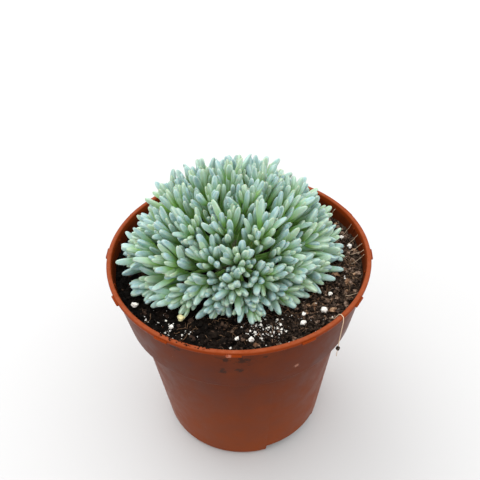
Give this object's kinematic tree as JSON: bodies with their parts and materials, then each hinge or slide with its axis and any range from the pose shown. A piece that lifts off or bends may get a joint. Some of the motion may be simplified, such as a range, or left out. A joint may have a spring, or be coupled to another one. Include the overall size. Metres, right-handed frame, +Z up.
{
  "type": "potted ice plant",
  "caption": "Dense cushion of finger-leaved succulent shoots growing from a short crown, in a round collared plastic nursery pot of soil.",
  "frame": {"origin": "centre of the pot's foot, on the surface that it stands on", "axes": "+Z up along the pot's axis; the picture is taken from the -Y side, so -Y is the front, +X the viewer's right"},
  "size_m": [0.1064, 0.1064, 0.1266],
  "materials": {
    "pot_plastic": "satin",
    "potting_soil": "matte",
    "crown_bark": "matte",
    "leaf_skin": "satin",
    "perlite": "matte",
    "pumice": "matte"
  },
  "bodies": {
    "root": {"pot": "pot_plastic", "soil": "potting_soil", "crown": "crown_bark", "shoot_01": "leaf_skin", "shoot_02": "leaf_skin", "shoot_03": "leaf_skin", "shoot_04": "leaf_skin", "shoot_05": "leaf_skin", "shoot_06": "leaf_skin", "shoot_07": "leaf_skin", "shoot_08": "leaf_skin", "shoot_09": "leaf_skin", "shoot_10": "leaf_skin", "shoot_11": "leaf_skin", "shoot_12": "leaf_skin", "shoot_13": "leaf_skin", "shoot_14": "leaf_skin", "shoot_15": "leaf_skin", "shoot_16": "leaf_skin", "shoot_17": "leaf_skin", "shoot_18": "leaf_skin", "shoot_19": "leaf_skin", "shoot_20": "leaf_skin", "shoot_21": "leaf_skin", "shoot_22": "leaf_skin", "shoot_23": "leaf_skin", "shoot_24": "leaf_skin", "shoot_25": "leaf_skin", "shoot_26": "leaf_skin", "shoot_27": "leaf_skin", "shoot_28": "leaf_skin", "shoot_29": "leaf_skin", "shoot_30": "leaf_skin", "shoot_31": "leaf_skin", "shoot_32": "leaf_skin", "shoot_33": "leaf_skin", "shoot_34": "leaf_skin", "shoot_35": "leaf_skin", "shoot_36": "leaf_skin", "shoot_37": "leaf_skin", "shoot_38": "leaf_skin", "shoot_39": "leaf_skin", "shoot_40": "leaf_skin", "shoot_41": "leaf_skin", "shoot_42": "leaf_skin", "shoot_43": "leaf_skin", "shoot_44": "leaf_skin", "shoot_45": "leaf_skin", "shoot_46": "leaf_skin", "perlite_01": "perlite", "perlite_02": "perlite", "perlite_03": "perlite", "perlite_04": "perlite", "perlite_05": "perlite", "perlite_06": "perlite", "perlite_07": "perlite", "perlite_08": "perlite", "perlite_09": "perlite", "perlite_10": "perlite", "pumice": "pumice"}
  },
  "joints": []
}
